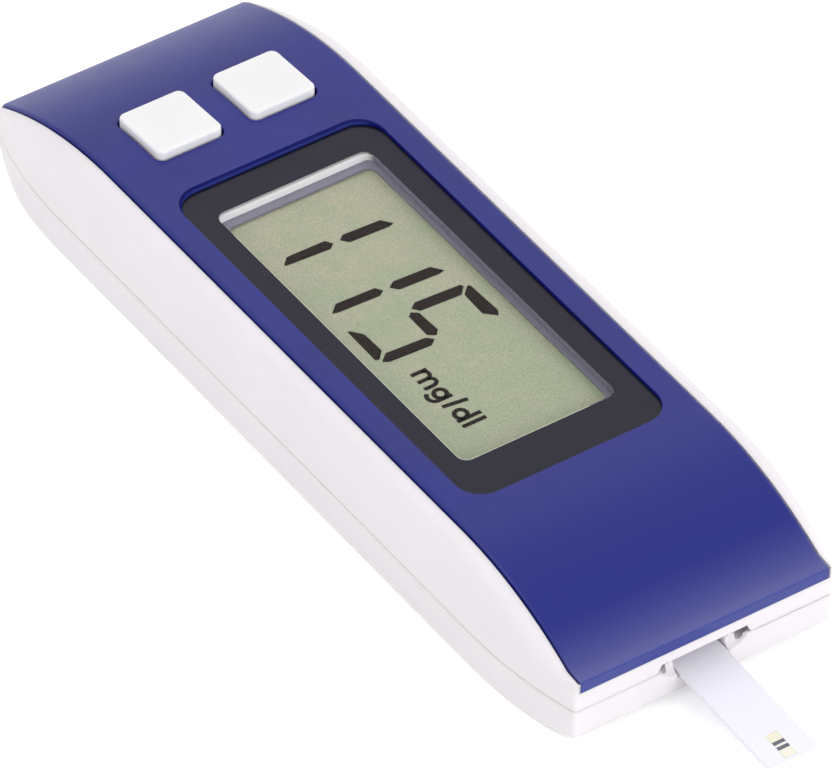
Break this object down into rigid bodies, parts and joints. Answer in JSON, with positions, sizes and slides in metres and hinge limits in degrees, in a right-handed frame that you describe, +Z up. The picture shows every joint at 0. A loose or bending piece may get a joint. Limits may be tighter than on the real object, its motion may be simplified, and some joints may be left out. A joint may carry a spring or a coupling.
{
  "type": "blood glucose meter",
  "caption": "Slim pocket blood glucose meter with an arched cover, windowed display, sprung keys, a test strip in its port and a sliding battery door.",
  "frame": {"origin": "centre of the whole part's box on the plane that it lies on", "axes": "+X to the right of the keys seen from the strip end, +Y from the strip port towards the keys, +Z up through the cover"},
  "size_m": [0.0364, 0.1204, 0.0145],
  "materials": {
    "blue_cover": "satin moulded plastic",
    "white_shell": "satin moulded plastic",
    "white_key": "satin moulded plastic",
    "clear_lens": "clear pane, printed dark round its edge",
    "black_tape": "thin foam adhesive",
    "light_frame": "moulded plastic",
    "grey_mask": "printed film",
    "display_glass": "polarised display glass",
    "reflector_foil": "satin foil",
    "zebra_rubber": "layered conductive rubber",
    "board_laminate": "green solder mask",
    "black_plastic": "moulded plastic",
    "ivory_plastic": "moulded plastic",
    "gold_plate": "gold-plated spring strip",
    "steel": "nickel-plated steel",
    "strip_film": "laminated polyester film"
  },
  "bodies": {
    "housing": {"top_cover": "blue_cover", "upper_housing": "white_shell", "lower_housing": "white_shell", "display_lens": "clear_lens", "lens_tape": "black_tape", "display_frame": "light_frame", "display_mask": "grey_mask", "front_glass": "display_glass", "rear_glass": "display_glass", "reflector": "reflector_foil", "zebra_connector_left": "zebra_rubber", "zebra_connector_right": "zebra_rubber", "circuit_board": "board_laminate", "microcontroller": "black_plastic", "crystal": "steel", "buzzer": "black_plastic", "strip_connector": "black_plastic", "strip_contact_1": "gold_plate", "strip_contact_2": "gold_plate", "strip_contact_3": "gold_plate", "coin_cell": "steel", "battery_contact_negative": "steel", "battery_contact_positive": "steel", "case_screw_1": "steel", "case_screw_2": "steel", "case_screw_3": "steel", "case_screw_4": "steel", "switch_left": "black_plastic", "switch_right": "black_plastic"},
    "left_key": {"key_left": "white_key", "switch_plunger_left": "ivory_plastic"},
    "right_key": {"key_right": "white_key", "switch_plunger_right": "ivory_plastic"},
    "strip": {"test_strip": "strip_film"},
    "door": {"battery_door": "white_shell"}
  },
  "joints": [
    {"name": "key_left_press", "type": "slide", "parent": "housing", "child": "left_key", "axis": [0, -0.0719, -0.9974], "range_m": [0, 0.0005], "stiffness_N_per_m": 1500},
    {"name": "key_right_press", "type": "slide", "parent": "housing", "child": "right_key", "axis": [0, -0.0719, -0.9974], "range_m": [0, 0.0005], "stiffness_N_per_m": 1500},
    {"name": "test_strip_slide", "type": "slide", "parent": "housing", "child": "strip", "axis": [0, -0.9981, -0.061], "range_m": [0, 0.015]},
    {"name": "battery_door_slide", "type": "slide", "parent": "housing", "child": "door", "axis": [0, 1, 0], "range_m": [0, 0.032]}
  ]
}
